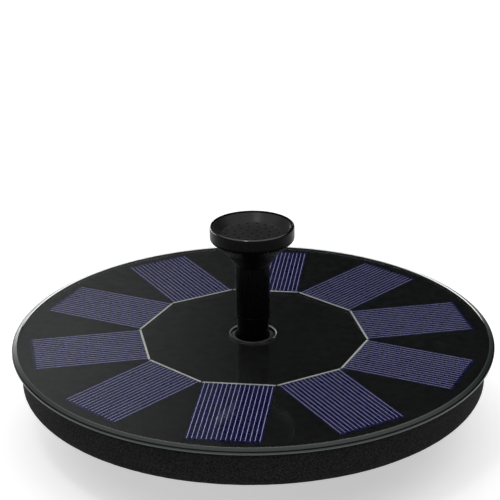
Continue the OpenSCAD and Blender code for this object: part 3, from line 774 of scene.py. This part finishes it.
class FOUNTAIN_OT_studio(bpy.types.Operator):
    """Add the camera, the floor and the studio light"""

    bl_idname = "fountain.studio"
    bl_label = "Studio"

    def execute(self, context):
        studio = context.scene.fountain_studio
        self.place_camera(context, studio)
        self.lay_floor(studio)
        self.light(context, studio)
        context.scene.view_settings.view_transform = "Standard"
        return {"FINISHED"}

    def direction(self, azimuth, elevation):
        return Vector(
            (
                math.sin(azimuth) * math.cos(elevation),
                -math.cos(azimuth) * math.cos(elevation),
                math.sin(elevation),
            )
        )

    def place_camera(self, context, studio):
        aim = Vector((0, 0, high("panel_glass") * MM))
        stand = aim + studio.distance * self.direction(
            studio.stand_azimuth, studio.stand_elevation
        )
        back = self.direction(studio.aim_azimuth, studio.aim_elevation)
        right = Vector((0, 0, 1)).cross(back).normalized()
        up = back.cross(right)
        turn = Matrix((right, up, back)).transposed().to_4x4()
        clear_selection()
        bpy.ops.object.camera_add()
        camera = context.object
        camera.name = "fountain_camera"
        camera.data.lens = studio.lens
        camera.data.sensor_width = LENS_SENSOR
        camera.data.clip_start = 0.01
        camera.matrix_world = (
            Matrix.Translation(stand) @ turn @ Matrix.Rotation(studio.roll, 4, "Z")
        )
        context.scene.camera = camera

    def lay_floor(self, studio):
        clear_selection()
        bpy.ops.mesh.primitive_plane_add(size=9.0, location=(0, 0, 0))
        floor = bpy.context.object
        floor.name = "studio_floor"
        finish = Finish("studio_floor", tuple(studio.floor_colour), 0.9)
        finish.drive("Roughness", finish.span(finish.noise(40.0), 0.85, 0.95))
        finish.set("Emission Color", (1.0, 1.0, 1.0, 1.0))
        finish.set("Emission Strength", studio.floor_glow)
        floor.data.materials.append(finish.material)

    def light(self, context, studio):
        self.softbox("key_softbox", (-0.15, -0.42, 0.95), (0.12, 0.12), studio.key)
        self.softbox("side_softbox", (-0.70, 0.65, 0.11), (1.2, 0.10), studio.side)
        context.scene.world = self.surround(studio)

    def softbox(self, name, place, size, strength):
        """A soft lamp that faces the fountain."""
        clear_selection()
        bpy.ops.object.light_add(type="AREA", location=place)
        lamp = bpy.context.object
        lamp.name = name
        lamp.data.shape = "RECTANGLE"
        lamp.data.size, lamp.data.size_y = size
        lamp.data.energy = strength
        lamp.visible_transmission = False
        aim = Vector((0, 0, 0.04)) - lamp.location
        lamp.rotation_euler = aim.to_track_quat("-Z", "Y").to_euler()

    def surround(self, studio):
        """A bright ceiling over dim walls, which are brighter at the left."""
        world = bpy.data.worlds.new("studio_surround")
        world.use_nodes = True
        tree = world.node_tree
        place = tree.nodes.new("ShaderNodeTexCoord")
        axes = tree.nodes.new("ShaderNodeSeparateXYZ")
        tree.links.new(place.outputs["Generated"], axes.inputs["Vector"])

        def step(axis, start, end, low_level, high_level):
            made = tree.nodes.new("ShaderNodeMapRange")
            made.interpolation_type = "SMOOTHSTEP"
            for socket, value in zip(
                ("From Min", "From Max", "To Min", "To Max"),
                (start, end, low_level, high_level),
            ):
                made.inputs[socket].default_value = value
            tree.links.new(axes.outputs[axis], made.inputs["Value"])
            return made.outputs["Result"]

        def mix(share, first, second):
            made = tree.nodes.new("ShaderNodeMix")
            tree.links.new(share, made.inputs["Factor"])
            tree.links.new(first, made.inputs["A"])
            if isinstance(second, float):
                made.inputs["B"].default_value = second
            else:
                tree.links.new(second, made.inputs["B"])
            return made.outputs["Result"]

        back_wall = step("X", -0.33, -0.07, studio.left_wall, studio.right_wall)
        to_front = step("Y", -0.2, 0.3, 1.0, 0.0)
        walls = mix(to_front, back_wall, studio.front_wall)
        level = mix(step("Z", 0.56, 0.74, 0.0, 1.0), walls, studio.ceiling)
        background = tree.nodes["Background"]
        background.inputs["Color"].default_value = (1.0, 1.0, 1.0, 1.0)
        tree.links.new(level, background.inputs["Strength"])
        return world


class FOUNTAIN_OT_glass_disc(bpy.types.Operator):
    """Model the cover glass with its ground bevel, side and arrises"""

    bl_idname = "fountain.glass_disc"
    bl_label = "Cover glass"

    def execute(self, context):
        sizes = context.scene.fountain_sizes
        colours = context.scene.fountain_colours
        top = high("panel_glass")
        bottom = low("panel_glass")
        edge = high("panel_glass", 0)
        hole = sizes.hole_radius / MM
        bevel = sizes.bevel_width / MM
        drop = sizes.bevel_depth / MM
        arris = 0.3
        hole_arris = 0.4
        glass = turned(
            "cover_glass",
            [
                (hole, bottom),
                (edge - arris, bottom),
                (edge, bottom + arris),
                (edge, top - drop),
                (edge - bevel, top),
                (hole + hole_arris, top),
                (hole, top - hole_arris),
            ],
            sides=384,
        )
        glass.data.materials.append(clear_glass())
        rim = tuple(colours.ground_glass)
        glass.data.materials.append(ground_edge(rim, bottom, top))
        glass.data.materials.append(ground_ring(tuple(colours.hole_frost_and_highlight)))
        for face in glass.data.polygons:
            slope = abs(face.normal.z)
            if math.hypot(face.center.x, face.center.y) > (hole + 1.0) * MM:
                face.material_index = 1 if slope < 0.99 else 0
            else:
                face.material_index = 2 if 0.2 < slope < 0.99 else 0
        round_edges(glass, 0.12, angle=15, segments=2)
        smooth(glass, 20)
        finish_piece(glass, None, "float")
        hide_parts("panel_glass")
        return {"FINISHED"}


class FOUNTAIN_OT_solar_cells(bpy.types.Operator):
    """Finish the cells and print their contact lines"""

    bl_idname = "fountain.solar_cells"
    bl_label = "Solar cells"

    def execute(self, context):
        sizes = context.scene.fountain_sizes
        colours = context.scene.fountain_colours
        paint(silicon(tuple(colours.silicon)), *CELLS)
        first = self.print_lines(sizes)
        smooth(first, 20)
        printed = printed_contact(tuple(colours.contact))
        first.data.materials.append(printed)
        step = 2 * math.pi / len(CELLS)
        for number in range(len(CELLS)):
            lines = first
            if number:
                lines = first.copy()
                lines.data = first.data.copy()
                context.collection.objects.link(lines)
                lines.rotation_euler.z = number * step
                apply_place(lines)
            lines.name = f"cell_lines_{number + 1:02d}"
            finish_piece(lines, printed, "float")
        return {"FINISHED"}

    def print_lines(self, sizes):
        """Lines of the front cell, which run from the ribbon to near its outer end."""
        inner = high("solar_cell_01", 1) * MM
        outer = low("solar_cell_01", 1) * MM + sizes.line_end
        surface = high("solar_cell_01") * MM
        across = sizes.line_pitch * (sizes.line_count - 1)
        print_height = 0.03 * MM
        clear_selection()
        bpy.ops.mesh.primitive_plane_add(
            size=1.0, location=(-across / 2, (inner + outer) / 2, surface)
        )
        lines = bpy.context.object
        lines.name = "cell_lines_01"
        lines.scale = (sizes.line_width, abs(inner - outer), 1.0)
        apply_place(lines)
        bpy.ops.object.mode_set(mode="EDIT")
        bpy.ops.mesh.select_all(action="SELECT")
        bpy.ops.mesh.extrude_region_move(
            TRANSFORM_OT_translate={"value": (0, 0, print_height)}
        )
        bpy.ops.mesh.select_all(action="SELECT")
        bpy.ops.mesh.normals_make_consistent(inside=False)
        bpy.ops.object.mode_set(mode="OBJECT")
        crown = lines.modifiers.new("crown", "BEVEL")
        crown.width = 0.012 * MM
        crown.segments = 1
        repeat = lines.modifiers.new("repeat", "ARRAY")
        repeat.count = sizes.line_count
        repeat.use_relative_offset = False
        repeat.use_constant_offset = True
        repeat.constant_offset_displace = (sizes.line_pitch, 0, 0)
        apply_modifiers(lines)
        return lines


class FOUNTAIN_OT_panel_backing(bpy.types.Operator):
    """Finish the laminate, the bus ribbon and the seal round the hole"""

    bl_idname = "fountain.panel_backing"
    bl_label = "Panel backing"

    def execute(self, context):
        colours = context.scene.fountain_colours
        paint(laminate(tuple(colours.backing)), "backsheet")
        paint(tinned_ribbon(), "bus_ribbon")
        paint(soft_rubber("hole_seal_rubber", (0.012, 0.012, 0.012)), "hole_seal")
        return {"FINISHED"}


class FOUNTAIN_OT_foam_ring(bpy.types.Operator):
    """Model the foam ring that floats the panel"""

    bl_idname = "fountain.foam_ring"
    bl_label = "Foam float"

    def execute(self, context):
        sizes = context.scene.fountain_sizes
        colours = context.scene.fountain_colours
        outer = high("float_foam", 0)
        hub_clearance = 0.3
        inner = high("deck_shell", 0) + hub_clearance
        middle = (inner + outer) / 2
        bottom = low("float_foam")
        top = high("float_foam")
        rounding = sizes.foam_rounding / MM
        straight = top - bottom - 2 * rounding
        profile = [(inner, bottom), (middle, bottom)]
        profile += rounded_edge(outer, bottom + rounding, rounding, -90)
        for share in (0.25, 0.5, 0.75):
            profile.append((outer, bottom + rounding + share * straight))
        profile += rounded_edge(outer, top - rounding, rounding, 0)
        profile += [(middle, top), (inner, top)]
        ring = turned("foam_ring", profile, sides=360)
        self.roughen(ring)
        smooth(ring, 50)
        finish_piece(ring, float_foam(tuple(colours.foam)), "float")
        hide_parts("float_foam")
        return {"FINISHED"}

    def roughen(self, ring):
        """Slight unevenness of foam that was cut and sanded."""
        clouds = bpy.data.textures.new("foam_unevenness", "CLOUDS")
        clouds.noise_scale = 2.5 * MM
        uneven = ring.modifiers.new("unevenness", "DISPLACE")
        uneven.texture = clouds
        uneven.texture_coords = "LOCAL"
        uneven.strength = 0.12 * MM
        uneven.mid_level = 1.0
        apply_modifiers(ring)


class FOUNTAIN_OT_hub(bpy.types.Operator):
    """Finish the hub's shell, cover, screws and what is inside it"""

    bl_idname = "fountain.hub"
    bl_label = "Hub and electronics"

    def execute(self, context):
        colours = context.scene.fountain_colours
        moulding = tuple(colours.moulding)
        paint(moulded("hub_moulding", moulding, 0.48), "deck_shell", "base_cover")
        paint(metal("stainless_screw", (0.62, 0.62, 0.60), 0.28), "cover_screws")
        paint(shrink_wrap(), "battery_cell")
        paint(circuit_board(), "control_board")
        paint(stone("choke_ferrite", (0.05, 0.05, 0.055), 0.55), "charge_inductor")
        paint(
            moulded("chip_epoxy", (0.018, 0.018, 0.019), 0.5, grain=0.15), "board_chips"
        )
        paint(moulded("nylon_plug", (0.72, 0.70, 0.64), 0.42), "lead_connectors")
        paint(
            gloss_plastic("lead_jacket", (0.28, 0.012, 0.010), 0.4),
            "panel_leads",
            "battery_leads",
            "pump_leads",
        )
        return {"FINISHED"}


class FOUNTAIN_OT_pump(bpy.types.Operator):
    """Finish the pump's mouldings, motor and impeller"""

    bl_idname = "fountain.pump"
    bl_label = "Pump"

    def execute(self, context):
        colours = context.scene.fountain_colours
        moulding = tuple(colours.moulding)
        satin = moulded("pump_moulding", tint(moulding, 1.15), 0.40, grain=0.5)
        paint(satin, "pump_body", "outlet_cap", "volute_plate", "strainer_cover")
        paint(
            soft_rubber("seal_rubber", (0.016, 0.016, 0.016)),
            "outlet_seal",
            "pump_seal",
            "volute_seal",
            "upper_cushion",
            "lower_cushion",
        )
        paint(metal("pump_screw_steel", (0.60, 0.60, 0.58), 0.3), "pump_screws")
        paint(steel_laminations(), "stator_core")
        paint(wound_copper(), "windings")
        paint(stone("potting_resin", (0.03, 0.026, 0.022), 0.3, 1.5), "potting_cap")
        paint(stone("shaft_ceramic", (0.80, 0.78, 0.72), 0.15, 0.2), "pump_shaft")
        paint(stone("sintered_magnet", (0.06, 0.06, 0.065), 0.5), "rotor_magnet")
        paint(moulded("impeller_acetal", (0.62, 0.62, 0.60), 0.35), "impeller")
        return {"FINISHED"}


class FOUNTAIN_OT_nozzle(bpy.types.Operator):
    """Model the riser and the sprinkler nozzle, and finish the spray disc"""

    bl_idname = "fountain.nozzle"
    bl_label = "Riser and nozzle"

    def execute(self, context):
        colours = context.scene.fountain_colours
        black = gloss_plastic(
            "nozzle_gloss_black", tuple(colours.gloss_black), 0.28, shine=0.06
        )
        self.riser(black)
        self.head(black)
        insert = tuple(colours.spray_insert)
        paint(gloss_plastic("spray_insert_grey", insert, 0.3, shine=0.2), "spray_disc")
        return {"FINISHED"}

    def riser(self, black):
        """Narrow tube with a collar, a plug for the stem and a socket for the spigot."""
        bottom = low("riser_tube")
        joint = low("nozzle_head")
        top = high("riser_tube")
        tube, collar, plug = 5.9, 6.5, 5.1
        socket, bore = 4.46, 3.8
        riser = turned(
            "riser",
            [
                (socket + 0.4, bottom),
                (tube - 0.4, bottom),
                (tube, bottom + 0.6),
                (tube, joint - 1.1),
                (collar, joint - 1.0),
                (collar, joint),
                (plug, joint),
                (plug, top - 0.6),
                (plug - 0.4, top),
                (bore, top),
                (bore, joint - 3.5),
                (socket, joint - 3.7),
                (socket, bottom + 0.4),
            ],
            sides=128,
        )
        round_edges(riser, 0.12, angle=20)
        smooth(riser, 35)
        finish_piece(riser, black, "riser")
        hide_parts("riser_tube")

    def head(self, black):
        """Stem, taper and dished head, with a polished lip."""
        bottom = low("nozzle_head")
        seat = bottom + 0.03
        stem, socket, bore = 6.4, 5.16, 4.2
        socket_depth = 10.8
        spray_radius = 11.8
        top = high("nozzle_head")
        rim = high("nozzle_head", 0)
        taper = bottom + 20.1
        underside = taper + 6.0
        wall = underside + 4.1
        spray = top - 4.4
        lip = 0.7
        head = turned(
            "nozzle",
            [
                (socket, seat),
                (stem - 0.3, seat),
                (stem, bottom + 0.3),
                (stem, taper),
                (10.9, underside),
                (rim - 0.53, wall - 0.46),
                (rim - 0.1, wall + 0.1),
                (rim, wall + 0.7),
                *rounded_edge(rim, top - lip, lip, 0),
                (rim - 0.9, top),
                (rim - 0.9, spray + 2.3),
                (spray_radius + 0.6, spray),
                (spray_radius, spray - 0.8),
                (8.9, underside + 1.4),
                (bore, taper + 1.0),
                (bore, bottom + socket_depth),
                (socket, bottom + socket_depth),
            ],
            sides=192,
        )
        round_edges(head, 0.14, angle=20)
        smooth(head, 40)
        polished = gloss_plastic("nozzle_lip", (0.002,) * 3, 0.1, shine=0.8)
        head.data.materials.append(black)
        head.data.materials.append(polished)
        for face in head.data.polygons:
            corner = face.center.z > (top - lip) * MM and 0.15 < face.normal.z < 0.95
            outside = math.hypot(face.center.x, face.center.y) > (rim - lip) * MM
            face.material_index = 1 if corner and outside else 0
        finish_piece(head, black, "nozzle")
        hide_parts("nozzle_head")


class FOUNTAIN_PT_parts(bpy.types.Panel):
    """Lists the fountain's pieces and their settings"""

    bl_label = "Floating Solar Fountain"
    bl_idname = "FOUNTAIN_PT_parts"
    bl_space_type = "VIEW_3D"
    bl_region_type = "UI"
    bl_category = "Fountain"

    def draw(self, context):
        scene = context.scene
        for settings in (
            scene.fountain_sizes,
            scene.fountain_colours,
            scene.fountain_studio,
        ):
            box = self.layout.box()
            for name in settings.__annotations__:
                box.prop(settings, name)
        for step in STEPS:
            self.layout.operator(step.bl_idname)


STEPS = (
    FOUNTAIN_OT_studio,
    FOUNTAIN_OT_glass_disc,
    FOUNTAIN_OT_solar_cells,
    FOUNTAIN_OT_panel_backing,
    FOUNTAIN_OT_foam_ring,
    FOUNTAIN_OT_hub,
    FOUNTAIN_OT_pump,
    FOUNTAIN_OT_nozzle,
)
CLASSES = (FountainSizes, FountainColours, FountainStudio, *STEPS, FOUNTAIN_PT_parts)


def register():
    for made in CLASSES:
        bpy.utils.register_class(made)
    bpy.types.Scene.fountain_sizes = PointerProperty(type=FountainSizes)
    bpy.types.Scene.fountain_colours = PointerProperty(type=FountainColours)
    bpy.types.Scene.fountain_studio = PointerProperty(type=FountainStudio)


def unregister():
    del bpy.types.Scene.fountain_studio
    del bpy.types.Scene.fountain_colours
    del bpy.types.Scene.fountain_sizes
    for made in reversed(CLASSES):
        bpy.utils.unregister_class(made)


def main():
    register()
    bpy.ops.fountain.studio()
    bpy.ops.fountain.glass_disc()
    bpy.ops.fountain.solar_cells()
    bpy.ops.fountain.panel_backing()
    bpy.ops.fountain.foam_ring()
    bpy.ops.fountain.hub()
    bpy.ops.fountain.pump()
    bpy.ops.fountain.nozzle()
    clear_selection()


if __name__ == "__main__":
    main()
